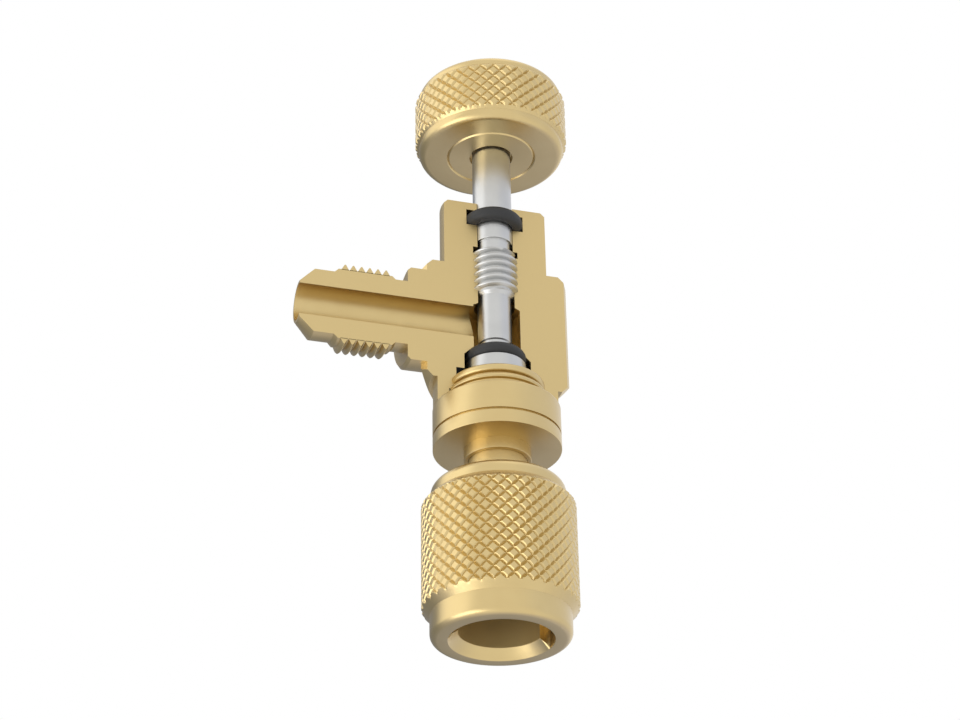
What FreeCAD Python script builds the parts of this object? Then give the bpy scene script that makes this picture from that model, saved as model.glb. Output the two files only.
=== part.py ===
"""Refrigerant service valve, shown as a section model: the brass body is cut along a plane just in
front of the stem, and every other piece is whole. The stem is driven down by the knob, which lets the
refrigerant past the plunger and presses the core of the port that the swivel coupler is screwed to.

Frame: millimetres, +Z up along the stem, origin on the stem's axis at the coupler's mouth. The side
port points to -X, and the cut face looks to -Y. The valve is modelled closed, with the stem raised."""

import FreeCAD, Part
import Sketcher
import os
import re

SIZES = {
    # swivel coupler
    "coupler_length": 19.2,
    "coupler_knurl_dia": 18.0,
    "coupler_nose_step": 0.92,
    "coupler_nose_length": 2.9,
    "coupler_shoulder_step": 1.1,
    "coupler_shoulder_length": 1.8,
    "coupler_nose_fillet": 0.8,
    "coupler_shoulder_fillet": 1.2,
    "mouth_dia": 12.1,
    "coupler_bore_dia": 9.8,
    "coupler_thread_end": 8.6,
    "coupler_relief_depth": 0.75,
    "coupler_relief_width": 1.0,
    # tail tube that the coupler turns on, with its gasket
    "tube_dia": 6.4,
    "tube_bore_dia": 3.8,
    "bead_play": 0.2,
    "bead_thickness": 1.4,
    "bead_height": 11.3,
    "gasket_play": 0.3,
    "gasket_thickness": 1.7,
    "nub_wall": 0.55,
    "nub_length": 1.4,
    "swivel_play": 0.07,
    "swivel_end_play": 0.1,
    # flange under the end plug
    "neck_reach": 4.65,
    "flange_dia": 15.2,
    "flange_thickness": 1.6,
    "boss_wall": 0.72,
    "boss_length": 1.85,
    "boss_root_fillet": 0.9,
    "boss_foot_fillet": 0.4,
    "flange_spigot_dia": 10.8,
    "flange_spigot_height": 1.75,
    "flange_seal_wire": 0.7,
    "joint_line": 0.12,
    "seat_play": 0.03,
    # end plug
    "plug_height": 3.85,
    "plug_floor": 1.2,
    "plug_end_play": 0.2,
    "plug_spigot_wall": 0.97,
    "plug_spigot_height": 3.5,
    "plug_ring_step": 0.88,
    "plug_ring_height": 1.5,
    "plug_groove_depth": 0.32,
    "plug_groove_width": 1.2,
    "plug_crest": 0.2,
    "body_gasket_thickness": 1.2,
    # valve body
    "section_offset": 0.93,
    "skirt_dia": 15.06,
    "skirt_length": 3.15,
    "across_flats": 16.0,
    "block_height": 16.15,
    "block_face_step": 0.05,
    "body_neck_dia": 13.14,
    "body_neck_length": 9.1,
    "body_neck_chamfer": 0.5,
    "poppet_bore_height": 2.0,
    "chamber_dia": 6.18,
    "chamber_height": 5.85,
    "chamber_roof": 0.3,
    "thread_play": 0.1,
    "thread_relief_depth": 0.5,
    "thread_relief_height": 0.9,
    "guide_length": 3.15,
    "seal_groove_depth": 1.35,
    "seal_groove_height": 2.17,
    "lip_height": 1.03,
    # side port
    "port_height": 8.2,
    "port_bore_dia": 4.6,
    "collar_dia": 12.9,
    "collar_face": 11.1,
    "collar_chamfer": 0.4,
    "port_thread_root_dia": 9.74,
    "port_relief_depth": 0.4,
    "port_relief_width": 1.5,
    "port_thread_length": 6.6,
    "port_lead": 0.5,
    "port_nose_step": 0.47,
    "port_nose_length": 2.4,
    "port_lip": 0.3,
    # stem
    "stem_dia": 4.8,
    "stem_play": 0.05,
    "stem_undercut_depth": 0.3,
    "stem_undercut_overrun": 0.75,
    "stem_thread_length": 6.0,
    "stem_rod_step": 0.35,
    "seal_neck_step": 0.15,
    "seal_neck_height": 2.9,
    "plunger_gap": 0.6,
    "plunger_thickness": 2.7,
    "edge_break": 0.15,
    "stem_reach": 7.9,
    # seals on the stem
    "plunger_ring_wire": 1.7,
    "plunger_ring_play": 0.1,
    "plunger_ring_proud": 0.05,
    "seal_gap": 0.03,
    "stem_ring_side_gap": 0.24,
    "stem_ring_roundness": 0.45,
    # core depressor
    "pin_dia": 2.0,
    "pin_socket": 2.0,
    "pin_set_back": 0.7,
    "pin_play": 0.03,
    # knob and its screw
    "knob_height": 9.3,
    "knob_knurl_dia": 19.1,
    "knob_rim_step": 0.45,
    "knob_rim_height": 1.25,
    "knob_fillet": 0.9,
    "knob_line_dia": 10.84,
    "knob_line_width": 0.22,
    "knob_line_depth": 0.15,
    "knob_socket": 5.6,
    "screw_side_gap": 0.45,
    "screw_sink": 0.2,
    "screw_head_dia": 5.5,
    "screw_head_height": 1.4,
    "screw_dia": 3.0,
    "screw_hole_play": 0.15,
    "screw_length": 7.5,
    "screw_key": 2.5,
    "screw_key_depth": 0.9,
}

doc = FreeCAD.newDocument("service_valve")
sheet = doc.addObject("Spreadsheet::Sheet", "sizes")
for row, (name, value) in enumerate(SIZES.items(), start=1):
    sheet.set(f"A{row}", name)
    sheet.set(f"B{row}", str(value))
    sheet.setAlias(f"B{row}", name)
doc.recompute()

# Radii of the pieces that fit in each other, as formulas of the sizes, from the stem outwards.
SHANK = "stem_dia / 2"
BORE = f"{SHANK} + stem_play"
THREAD_BORE = f"{SHANK} + thread_play"
ROD = f"{SHANK} - stem_rod_step"
SEAL_NECK = f"{ROD} - seal_neck_step"
RING_RADIUS = f"({SEAL_NECK} + plunger_ring_play + plunger_ring_wire / 2)"
PLUNGER = f"({RING_RADIUS} + plunger_ring_wire / 2 - plunger_ring_proud)"
POPPET_BORE = f"({PLUNGER} + plunger_gap)"
SPIGOT = f"({POPPET_BORE} + plug_spigot_wall)"
PLUG_RING = f"({SPIGOT} + plug_ring_step)"
PORT_BORE = "port_bore_dia / 2"
TUBE = "tube_dia / 2"
TUBE_BORE = "tube_bore_dia / 2"
NUB = f"({TUBE_BORE} + nub_wall)"
COUPLER_BORE = "coupler_bore_dia / 2"
SCREW = "screw_dia / 2"

# Heights up the stem's axis. Each piece sits on the one below it.
FLANGE_BASE = "coupler_length + neck_reach"
PLUG_BASE = f"{FLANGE_BASE} + flange_thickness"
BODY_BASE = f"{PLUG_BASE} + plug_height"
BLOCK_BASE = f"{BODY_BASE} + skirt_length"
BLOCK_TOP = f"{BLOCK_BASE} + block_height"
BODY_TOP = f"{BLOCK_TOP} + body_neck_length"
KNOB_BASE = f"{BODY_TOP} + stem_reach"
KNOB_TOP = f"{KNOB_BASE} + knob_height"
PORT_AXIS = f"{BLOCK_BASE} + port_height"
PLUG_RING_TOP = f"{BODY_BASE} + plug_ring_height"
SPIGOT_TOP = f"{BODY_BASE} + plug_spigot_height"
SOCKET_TOP = f"{SPIGOT_TOP} + body_gasket_thickness"
SEAT_BASE = f"{SOCKET_TOP} + poppet_bore_height"
SEAT_TOP = f"{SEAT_BASE} + {POPPET_BORE} - chamber_dia / 2"
ROOF_BASE = f"{SEAT_TOP} + chamber_height"
LIP_BASE = f"{BODY_TOP} - lip_height"
GROOVE_BASE = f"{LIP_BASE} - seal_groove_height"
RELIEF_TOP = f"{GROOVE_BASE} - guide_length"
RELIEF_BASE = f"{RELIEF_TOP} - thread_relief_height"
# The seat is a 45 degree cone, and the closed ring stands off it by the seal gap.
RING_HEIGHT = (
    f"{SEAT_TOP} + chamber_dia / 2 - {RING_RADIUS}"
    " - 2 ^ 0.5 * (plunger_ring_wire / 2 + seal_gap)"
)
PLUNGER_TOP = f"{RING_HEIGHT} - plunger_ring_wire / 2 - seal_gap"
PLUNGER_BASE = f"{PLUNGER_TOP} - plunger_thickness"
ROD_BASE = f"{PLUNGER_TOP} + seal_neck_height"
THREAD_TOP = RELIEF_BASE
THREAD_BASE = f"{THREAD_TOP} - stem_thread_length"
SHANK_BASE = f"{RELIEF_TOP} + stem_undercut_overrun"
STEM_TOP = f"{KNOB_BASE} + knob_socket - pin_play"
SCREW_SEAT = f"{KNOB_TOP} - screw_head_height - screw_sink"
FLANGE_SPIGOT_TOP = f"{PLUG_BASE} + flange_spigot_height"
PLUG_SOCKET_TOP = f"{FLANGE_SPIGOT_TOP} + plug_end_play"
TUBE_SHOULDER = "bead_height + bead_thickness"


def bound(formula):
    """Points each size named in a formula at its cell of the sheet."""
    return re.sub(r"[a-z]\w*", lambda word: "sizes." + word.group(), formula)


def new_body(label):
    body = doc.addObject("PartDesign::Body", label)
    body.Label = label
    return body


def new_sketch(body, name, role="XZ_Plane", lift="0", out="0"):
    """A sketch on one of the body's own planes, lifted along the sketch's Y and moved out along its
    normal. On the XZ plane the sketch's Y is +Z and its normal is -Y."""
    sketch = body.newObject("Sketcher::SketchObject", name)
    plane = next(item for item in body.Origin.OriginFeatures if item.Role == role)
    sketch.AttachmentSupport = [(plane, "")]
    sketch.MapMode = "FlatFace"
    sketch.setExpression(".AttachmentOffset.Base.y", bound(lift))
    sketch.setExpression(".AttachmentOffset.Base.z", bound(out))
    return sketch


def draw(sketch, corners):
    """A closed outline of straight lines through corners, each a pair of formulas, across and up."""
    count = len(corners)
    start = [FreeCAD.Vector(10 + i, 10 + (i * i) % 7, 0) for i in range(count)]
    for i in range(count):
        sketch.addGeometry(Part.LineSegment(start[i], start[(i + 1) % count]), False)
    for i in range(count):
        sketch.addConstraint(Sketcher.Constraint("Coincident", i, 2, (i + 1) % count, 1))
    for i, (across, up) in enumerate(corners):
        for kind, axis, formula in (("DistanceX", -2, across), ("DistanceY", -1, up)):
            if formula == "0":
                sketch.addConstraint(Sketcher.Constraint("PointOnObject", i, 1, axis))
                continue
            index = sketch.addConstraint(Sketcher.Constraint(kind, -1, 1, i, 1, 1.0 + i))
            sketch.setExpression(f"Constraints[{index}]", bound(formula))


def turn(body, name, corners, kind="Revolution", axis="V_Axis", lift="0"):
    """Turns an outline about the sketch's own axis, to add material or, as a Groove, to cut it."""
    sketch = new_sketch(body, f"{name}_outline", lift=lift)
    draw(sketch, corners)
    feature = body.newObject(f"PartDesign::{kind}", name)
    feature.Profile = sketch
    feature.ReferenceAxis = (sketch, [axis])
    feature.Angle = 360
    sketch.Visibility = False
    doc.recompute()
    return feature


def turned_piece(label, corners):
    body = new_body(label)
    turn(body, f"{label}_turned", corners)
    return body


def polygon(across_flats):
    """The six corners of a hexagon with two of its corners on the X axis."""
    corner = f"({across_flats}) / 3 ^ 0.5"
    side = f"({across_flats}) / 2"
    return [
        (corner, "0"),
        (f"{corner} / 2", side),
        (f"-{corner} / 2", side),
        (f"-{corner}", "0"),
        (f"-{corner} / 2", f"-{side}"),
        (f"{corner} / 2", f"-{side}"),
    ]


def widest_ring(shape, level):
    """The name of the largest circular edge at a height."""
    rings = [
        (edge.Curve.Radius, f"Edge{number}")
        for number, edge in enumerate(shape.Edges, start=1)
        if isinstance(edge.Curve, Part.Circle) and abs(edge.Curve.Center.z - level) < 1e-4
    ]
    return max(rings)[1]


def dress(body, kind, size, level):
    """A fillet or chamfer on the widest rim at the top or the bottom of a turned piece."""
    box = body.Tip.Shape.BoundBox
    edge = widest_ring(body.Tip.Shape, box.ZMax if level == "top" else box.ZMin)
    dress_edge(body, kind, size, edge, level)


def dress_edge(body, kind, size, edge, name):
    """A fillet or chamfer on one edge of what the body is so far."""
    base = body.Tip
    feature = body.newObject(f"PartDesign::{kind}", f"{body.Label}_{name}_{kind.lower()}")
    feature.Base = (base, [edge])
    feature.setExpression("Radius" if kind == "Fillet" else "Size", bound(size))
    doc.recompute()


def ring_at(shape, radius, level):
    """The name of the circular edge with a radius at a height."""
    for number, edge in enumerate(shape.Edges, start=1):
        if not isinstance(edge.Curve, Part.Circle):
            continue
        off = abs(edge.Curve.Radius - radius) + abs(edge.Curve.Center.z - level)
        if off < 1e-4:
            return f"Edge{number}"
    raise RuntimeError("the edge to round is missing")


def value_of(formula):
    """What a formula of the sizes comes to."""
    probe = doc.addObject("App::FeaturePython", "probe")
    probe.addProperty("App::PropertyFloat", "Value")
    probe.setExpression("Value", bound(formula))
    doc.recompute()
    value = probe.Value
    doc.removeObject(probe.Name)
    return value


def cut_section(body):
    """Takes away what lies in front of the section plane."""
    sketch = new_sketch(body, f"{body.Label}_window", out="section_offset")
    wide = "collar_face + port_thread_length + across_flats"
    draw(sketch, [(f"-({wide})", "0"), (wide, "0"), (wide, KNOB_TOP), (f"-({wide})", KNOB_TOP)])
    whole = body.Tip.Shape.Volume
    pocket = body.newObject("PartDesign::Pocket", f"{body.Label}_section")
    pocket.Profile = sketch
    pocket.Reversed = True
    pocket.setExpression("Length", bound("across_flats"))
    sketch.Visibility = False
    doc.recompute()
    if pocket.Shape.Volume > 0.8 * whole:
        raise RuntimeError(f"{body.Label} was not cut")


def make_valve_body():
    """Forged and turned brass: hexagon block, neck, skirt and side port, bored from both ends."""
    body = new_body("valve_body")
    hexagon = new_sketch(body, "block_outline", role="XY_Plane", out=BLOCK_BASE)
    draw(hexagon, polygon("across_flats"))
    block = body.newObject("PartDesign::Pad", "block")
    block.Profile = hexagon
    block.setExpression("Length", bound("block_height"))
    hexagon.Visibility = False
    doc.recompute()

    outside = "across_flats"
    face = "across_flats / 2 + block_face_step"
    drop = f"({outside} - ({face}))"
    top = [(face, BLOCK_TOP), (outside, BLOCK_TOP), (outside, f"{BLOCK_TOP} - {drop}")]
    base = [(face, BLOCK_BASE), (outside, BLOCK_BASE), (outside, f"{BLOCK_BASE} + {drop}")]
    turn(body, "block_top_chamfer", top, "Groove")
    turn(body, "block_base_chamfer", base, "Groove")

    skirt, neck = "skirt_dia / 2", "body_neck_dia / 2"
    turn(
        body,
        "neck_and_skirt",
        [
            ("0", BODY_BASE),
            (skirt, BODY_BASE),
            (skirt, PORT_AXIS),
            (neck, PORT_AXIS),
            (neck, f"{BODY_TOP} - body_neck_chamfer"),
            (f"{neck} - body_neck_chamfer", BODY_TOP),
            ("0", BODY_TOP),
        ],
    )
    make_port(body)
    turn(body, "stem_bores", stem_bores(), "Groove")
    turn(
        body,
        "port_bore",
        [
            ("0", "0"),
            ("0", PORT_BORE),
            ("-(collar_face + port_thread_length + across_flats)", PORT_BORE),
            ("-(collar_face + port_thread_length + across_flats)", "0"),
        ],
        "Groove",
        "H_Axis",
        PORT_AXIS,
    )
    cut_section(body)
    return body


def make_port(body):
    """The flare port: collar, thread relief, thread at its root diameter, nose and 45 degree flare."""
    collar, root = "collar_dia / 2", "port_thread_root_dia / 2"
    relief = f"{root} - port_relief_depth"
    nose = f"{root} - port_nose_step"
    tip = f"{PORT_BORE} + port_lip"
    relief_end = "collar_face + port_relief_width"
    thread_start = f"{relief_end} + port_relief_depth"
    thread_end = f"{thread_start} + port_thread_length"
    nose_end = f"{thread_end} + port_lead + port_nose_length"
    inside = f"-({THREAD_BORE})"
    turn(
        body,
        "port",
        [
            (inside, "0"),
            (inside, collar),
            ("-(collar_face - collar_chamfer)", collar),
            ("-collar_face", f"{collar} - collar_chamfer"),
            ("-collar_face", relief),
            (f"-({relief_end})", relief),
            (f"-({thread_start})", root),
            (f"-({thread_end})", root),
            (f"-({thread_end} + port_lead)", nose),
            (f"-({nose_end})", nose),
            (f"-({nose_end} + {nose} - ({tip}))", tip),
            (f"-({nose_end} + {nose} - ({tip}))", "0"),
        ],
        "Revolution",
        "H_Axis",
        PORT_AXIS,
    )


def stem_bores():
    """Half the outline of everything bored along the stem's axis, from the plug's socket upwards."""
    socket = f"{SPIGOT} + seat_play"
    counterbore = f"{PLUG_RING} + seat_play"
    relief = f"{THREAD_BORE} + thread_relief_depth"
    groove = f"{SHANK} + seal_groove_depth"
    return [
        ("0", BODY_BASE),
        (counterbore, BODY_BASE),
        (counterbore, f"{PLUG_RING_TOP} + plug_end_play"),
        (socket, f"{PLUG_RING_TOP} + plug_end_play"),
        (socket, SOCKET_TOP),
        (POPPET_BORE, SOCKET_TOP),
        (POPPET_BORE, SEAT_BASE),
        ("chamber_dia / 2", SEAT_TOP),
        ("chamber_dia / 2", ROOF_BASE),
        (THREAD_BORE, f"{ROOF_BASE} + chamber_roof"),
        (THREAD_BORE, RELIEF_BASE),
        (relief, RELIEF_BASE),
        (relief, RELIEF_TOP),
        (BORE, RELIEF_TOP),
        (BORE, GROOVE_BASE),
        (groove, GROOVE_BASE),
        (groove, LIP_BASE),
        (BORE, LIP_BASE),
        (BORE, BODY_TOP),
        ("0", BODY_TOP),
    ]


def make_stem():
    """One turned piece: shank, thread at its root diameter, rod and plunger."""
    undercut = f"{SHANK} - stem_undercut_depth"
    pin = "pin_dia / 2 + pin_play"
    screw = f"{SCREW} + pin_play"
    screw_end = f"{SCREW_SEAT} - screw_length - pin_play"
    return turned_piece(
        "stem",
        [
            ("0", f"{PLUNGER_BASE} + pin_socket"),
            (pin, f"{PLUNGER_BASE} + pin_socket"),
            (pin, PLUNGER_BASE),
            (f"{PLUNGER} - edge_break", PLUNGER_BASE),
            (PLUNGER, f"{PLUNGER_BASE} + edge_break"),
            (PLUNGER, f"{PLUNGER_TOP} - edge_break"),
            (f"{PLUNGER} - edge_break", PLUNGER_TOP),
            (SEAL_NECK, PLUNGER_TOP),
            (SEAL_NECK, f"{ROD_BASE} - seal_neck_step"),
            (ROD, ROD_BASE),
            (ROD, THREAD_BASE),
            (SHANK, f"{THREAD_BASE} + stem_rod_step"),
            (SHANK, THREAD_TOP),
            (undercut, f"{THREAD_TOP} + stem_undercut_depth"),
            (undercut, SHANK_BASE),
            (f"{SHANK} - edge_break", SHANK_BASE),
            (SHANK, f"{SHANK_BASE} + edge_break"),
            (SHANK, f"{STEM_TOP} - edge_break"),
            (f"{SHANK} - edge_break", STEM_TOP),
            (screw, STEM_TOP),
            (screw, screw_end),
            ("0", screw_end),
        ],
    )


def make_knob():
    """Turned knob with a broad knurled band, a fine line on its underside and a screw recess."""
    band = "knob_knurl_dia / 2"
    rim = f"{band} - knob_rim_step"
    socket = f"{SHANK} + pin_play"
    line_in = "knob_line_dia / 2 - knob_line_width / 2"
    line_out = "knob_line_dia / 2 + knob_line_width / 2"
    recess = "screw_head_dia / 2 + screw_side_gap"
    hole = f"{SCREW} + screw_hole_play"
    body = turned_piece(
        "knob",
        [
            (socket, KNOB_BASE),
            (line_in, KNOB_BASE),
            (line_in, f"{KNOB_BASE} + knob_line_depth"),
            (line_out, f"{KNOB_BASE} + knob_line_depth"),
            (line_out, KNOB_BASE),
            (rim, KNOB_BASE),
            (rim, f"{KNOB_BASE} + knob_rim_height"),
            (band, f"{KNOB_BASE} + knob_rim_height + knob_rim_step"),
            (band, f"{KNOB_TOP} - knob_rim_height - knob_rim_step"),
            (rim, f"{KNOB_TOP} - knob_rim_height"),
            (rim, KNOB_TOP),
            (recess, KNOB_TOP),
            (recess, SCREW_SEAT),
            (hole, SCREW_SEAT),
            (hole, f"{KNOB_BASE} + knob_socket"),
            (socket, f"{KNOB_BASE} + knob_socket"),
        ],
    )
    dress(body, "Fillet", "knob_fillet", "top")
    dress(body, "Fillet", "knob_fillet", "bottom")
    return body


def make_knob_screw():
    """Socket head screw that holds the knob down on the stem."""
    head, base = "screw_head_dia / 2", f"{SCREW_SEAT} - screw_length"
    top = f"{SCREW_SEAT} + screw_head_height"
    body = turned_piece(
        "knob_screw",
        [
            ("0", base),
            (f"{SCREW} - edge_break", base),
            (SCREW, f"{base} + edge_break"),
            (SCREW, SCREW_SEAT),
            (head, SCREW_SEAT),
            (head, top),
            ("0", top),
        ],
    )
    dress(body, "Chamfer", "edge_break", "top")
    key = new_sketch(body, "key_outline", role="XY_Plane", out=top)
    draw(key, polygon("screw_key"))
    pocket = body.newObject("PartDesign::Pocket", "key_pocket")
    pocket.Profile = key
    pocket.setExpression("Length", bound("screw_key_depth"))
    key.Visibility = False
    doc.recompute()
    return body


def make_depressor_pin():
    """Steel pin pressed on by the plunger, which opens the core of the port below."""
    radius, tip = "pin_dia / 2", "bead_height + pin_set_back"
    top = f"{PLUNGER_BASE} + pin_socket - pin_play"
    return turned_piece(
        "depressor_pin",
        [
            ("0", tip),
            (f"{radius} - 3 * edge_break", tip),
            (radius, f"{tip} + 3 * edge_break"),
            (radius, f"{top} - edge_break"),
            (f"{radius} - edge_break", top),
            ("0", top),
        ],
    )


def make_end_plug():
    """Closes the body from below, and leaves room for the plunger when the valve is open."""
    outer, groove = "flange_dia / 2", f"{SPIGOT} - plug_groove_depth"
    groove_top = f"{PLUG_RING_TOP} + plug_groove_width"
    crest = "plug_crest"
    socket = "flange_spigot_dia / 2 + seat_play"
    floor = f"{PLUG_SOCKET_TOP} + plug_floor"
    return turned_piece(
        "end_plug",
        [
            (TUBE_BORE, PLUG_SOCKET_TOP),
            (socket, PLUG_SOCKET_TOP),
            (socket, PLUG_BASE),
            (f"{outer} - joint_line", PLUG_BASE),
            (outer, f"{PLUG_BASE} + joint_line"),
            (outer, f"{BODY_BASE} - joint_line"),
            (f"{outer} - joint_line", BODY_BASE),
            (PLUG_RING, BODY_BASE),
            (PLUG_RING, f"{PLUG_RING_TOP} - {crest}"),
            (f"{PLUG_RING} - {crest}", PLUG_RING_TOP),
            (groove, PLUG_RING_TOP),
            (groove, f"{groove_top} - {crest}"),
            (SPIGOT, f"{groove_top} + {crest}"),
            (SPIGOT, f"{SPIGOT_TOP} - {crest}"),
            (f"{SPIGOT} - {crest}", SPIGOT_TOP),
            (POPPET_BORE, SPIGOT_TOP),
            (POPPET_BORE, floor),
            (TUBE_BORE, floor),
        ],
    )


def make_tail_flange():
    """Flange with a boss that the tail tube is pressed into, and a spigot sealed in the plug."""
    outer, hole, spigot = "flange_dia / 2", f"{TUBE} + seat_play", "flange_spigot_dia / 2"
    boss = f"{TUBE} + boss_wall"
    groove = f"{spigot} - flange_seal_wire"
    middle = f"{PLUG_BASE} + flange_spigot_height / 2"
    groove_base = f"{middle} - flange_seal_wire / 2 - seat_play"
    groove_top = f"{middle} + flange_seal_wire / 2 + seat_play"
    body = turned_piece(
        "tail_flange",
        [
            (hole, f"{FLANGE_BASE} - boss_length"),
            (boss, f"{FLANGE_BASE} - boss_length"),
            (boss, FLANGE_BASE),
            (outer, FLANGE_BASE),
            (outer, f"{PLUG_BASE} - joint_line"),
            (f"{outer} - joint_line", PLUG_BASE),
            (spigot, PLUG_BASE),
            (spigot, groove_base),
            (groove, groove_base),
            (groove, groove_top),
            (spigot, groove_top),
            (spigot, FLANGE_SPIGOT_TOP),
            (hole, FLANGE_SPIGOT_TOP),
        ],
    )
    root = ring_at(body.Tip.Shape, value_of(boss), value_of(FLANGE_BASE))
    dress_edge(body, "Fillet", "boss_root_fillet", root, "root")
    dress(body, "Fillet", "boss_foot_fillet", "bottom")
    return body


def make_tail_tube():
    """Tube with a bead at its foot, which the coupler hangs on and the gasket seats against."""
    bead = f"{COUPLER_BORE} - bead_play"
    nub_base = "bead_height - nub_length"
    return turned_piece(
        "tail_tube",
        [
            (TUBE_BORE, nub_base),
            (f"{NUB} - edge_break", nub_base),
            (NUB, f"{nub_base} + edge_break"),
            (NUB, "bead_height"),
            (bead, "bead_height"),
            (bead, f"{TUBE_SHOULDER} - edge_break"),
            (f"{bead} - edge_break", TUBE_SHOULDER),
            (TUBE, TUBE_SHOULDER),
            (TUBE, FLANGE_SPIGOT_TOP),
            (TUBE_BORE, FLANGE_SPIGOT_TOP),
        ],
    )


def make_coupler():
    """Knurled swivel nut, threaded inside, that turns on the tail tube above its bead."""
    band, mouth = "coupler_knurl_dia / 2", "mouth_dia / 2"
    nose, shoulder = f"{band} - coupler_nose_step", f"{band} - coupler_shoulder_step"
    relief = f"{COUPLER_BORE} + coupler_relief_depth"
    hole = f"{TUBE} + swivel_play"
    shoulder_base = "coupler_length - coupler_shoulder_length"
    seat = f"{TUBE_SHOULDER} + swivel_end_play"
    relief_top = "coupler_thread_end + coupler_relief_width"
    body = turned_piece(
        "coupler_nut",
        [
            (mouth, "0"),
            (nose, "0"),
            (nose, "coupler_nose_length"),
            (band, "coupler_nose_length + coupler_nose_step"),
            (band, f"{shoulder_base} - coupler_shoulder_step"),
            (shoulder, shoulder_base),
            (shoulder, "coupler_length"),
            (hole, "coupler_length"),
            (hole, seat),
            (COUPLER_BORE, seat),
            (COUPLER_BORE, relief_top),
            (relief, relief_top),
            (relief, "coupler_thread_end"),
            (COUPLER_BORE, "coupler_thread_end"),
            (COUPLER_BORE, f"{mouth} - {COUPLER_BORE}"),
        ],
    )
    dress(body, "Fillet", "coupler_shoulder_fillet", "top")
    dress(body, "Fillet", "coupler_nose_fillet", "bottom")
    return body


def make_coupler_gasket():
    """Flat rubber ring held on the tube's nub, which the flare of the port is pressed against."""
    outer, inner = f"{COUPLER_BORE} - gasket_play", f"{NUB} + seat_play"
    base = "bead_height - gasket_thickness"
    return turned_piece(
        "coupler_gasket",
        [(inner, base), (outer, base), (outer, "bead_height"), (inner, "bead_height")],
    )


def make_body_gasket():
    """Flat rubber ring between the plug's spigot and the body, cut by the section like the body."""
    body = turned_piece(
        "body_gasket",
        [
            (POPPET_BORE, SPIGOT_TOP),
            (SPIGOT, SPIGOT_TOP),
            (SPIGOT, SOCKET_TOP),
            (POPPET_BORE, SOCKET_TOP),
        ],
    )
    cut_section(body)
    return body


def make_stem_ring():
    """The stem's seal, squeezed between the shank and the groove of the body."""
    inner, outer = f"{SHANK} + seal_gap", f"{SHANK} + seal_groove_depth - seal_gap"
    base = f"{GROOVE_BASE} + seal_gap"
    top = f"{LIP_BASE} - stem_ring_side_gap"
    body = turned_piece("stem_o_ring", [(inner, base), (outer, base), (outer, top), (inner, top)])
    corners = [
        f"Edge{number}"
        for number, edge in enumerate(body.Tip.Shape.Edges, start=1)
        if isinstance(edge.Curve, Part.Circle)
    ]
    ring = body.Tip
    rounding = body.newObject("PartDesign::Fillet", "stem_o_ring_rounding")
    rounding.Base = (ring, corners)
    rounding.setExpression("Radius", bound("stem_ring_roundness * (seal_groove_depth - 2 * seal_gap)"))
    doc.recompute()
    return body


def make_ring(label, radius, wire, height):
    """A round section seal, with its radius measured at the middle of the wire."""
    ring = doc.addObject("Part::Torus", label)
    ring.Label = label
    ring.setExpression("Radius1", bound(radius))
    ring.setExpression("Radius2", bound(f"({wire}) / 2"))
    ring.setExpression(".Placement.Base.z", bound(height))
    doc.recompute()
    return ring


pieces = [
    make_valve_body(),
    make_stem(),
    make_knob(),
    make_knob_screw(),
    make_depressor_pin(),
    make_stem_ring(),
    make_ring("plunger_o_ring", RING_RADIUS, "plunger_ring_wire", RING_HEIGHT),
    make_body_gasket(),
    make_end_plug(),
    make_ring(
        "flange_seal",
        "(flange_spigot_dia - flange_seal_wire) / 2",
        "flange_seal_wire",
        f"{PLUG_BASE} + flange_spigot_height / 2",
    ),
    make_tail_flange(),
    make_tail_tube(),
    make_coupler(),
    make_coupler_gasket(),
]

doc.recompute()
for item in doc.Objects:
    if {"Invalid", "Error"} & set(item.State):
        raise RuntimeError(f"{item.Label} could not be built: {item.State}")
for piece in pieces:
    shape = piece.Shape
    if shape.isNull() or not shape.isValid() or len(shape.Solids) != 1:
        raise RuntimeError(f"{piece.Label} is not one sound solid")

os.makedirs("parts", exist_ok=True)
for piece in pieces:
    piece.Shape.exportStep(f"parts/{piece.Label}.step")
    print(piece.Label, "volume", round(piece.Shape.Volume, 2), "mm3")
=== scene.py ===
# %% [markdown]
# # A refrigerant service valve, cut open along its stem
#
# The real valve is turned and forged brass. A knob turns a steel stem that is screwed into the
# body, and a rubber ring low on the stem closes on a conical seat. The body is cut away in front
# of the stem so that all of this shows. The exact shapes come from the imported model. This lesson
# adds what a lathe and a knurling wheel leave on the metal: diamond knurling, screw threads, soft
# broken edges and the finish of each surface.

import math

import bpy
import numpy as np
from mathutils import Matrix, Vector


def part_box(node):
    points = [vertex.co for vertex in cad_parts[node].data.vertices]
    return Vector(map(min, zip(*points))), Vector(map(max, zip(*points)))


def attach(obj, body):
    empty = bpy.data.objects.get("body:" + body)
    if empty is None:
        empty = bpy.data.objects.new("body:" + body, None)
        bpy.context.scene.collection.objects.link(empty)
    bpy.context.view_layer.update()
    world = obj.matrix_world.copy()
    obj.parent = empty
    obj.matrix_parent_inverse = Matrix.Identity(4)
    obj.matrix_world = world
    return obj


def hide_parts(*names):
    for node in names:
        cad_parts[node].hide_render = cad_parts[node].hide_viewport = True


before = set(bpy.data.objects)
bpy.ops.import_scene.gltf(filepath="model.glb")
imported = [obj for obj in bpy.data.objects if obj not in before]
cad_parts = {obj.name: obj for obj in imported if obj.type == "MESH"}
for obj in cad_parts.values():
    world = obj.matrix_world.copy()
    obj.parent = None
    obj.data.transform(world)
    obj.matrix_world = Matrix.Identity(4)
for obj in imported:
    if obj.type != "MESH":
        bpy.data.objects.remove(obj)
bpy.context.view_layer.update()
print("nodes:", ", ".join(sorted(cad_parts)))

# %% [markdown]
# ## Where the parts are
#
# All new pieces are worked out in millimetres and written to the mesh in metres. Heights and
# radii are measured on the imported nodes, so that a new surface sits where the solid is.

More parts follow.
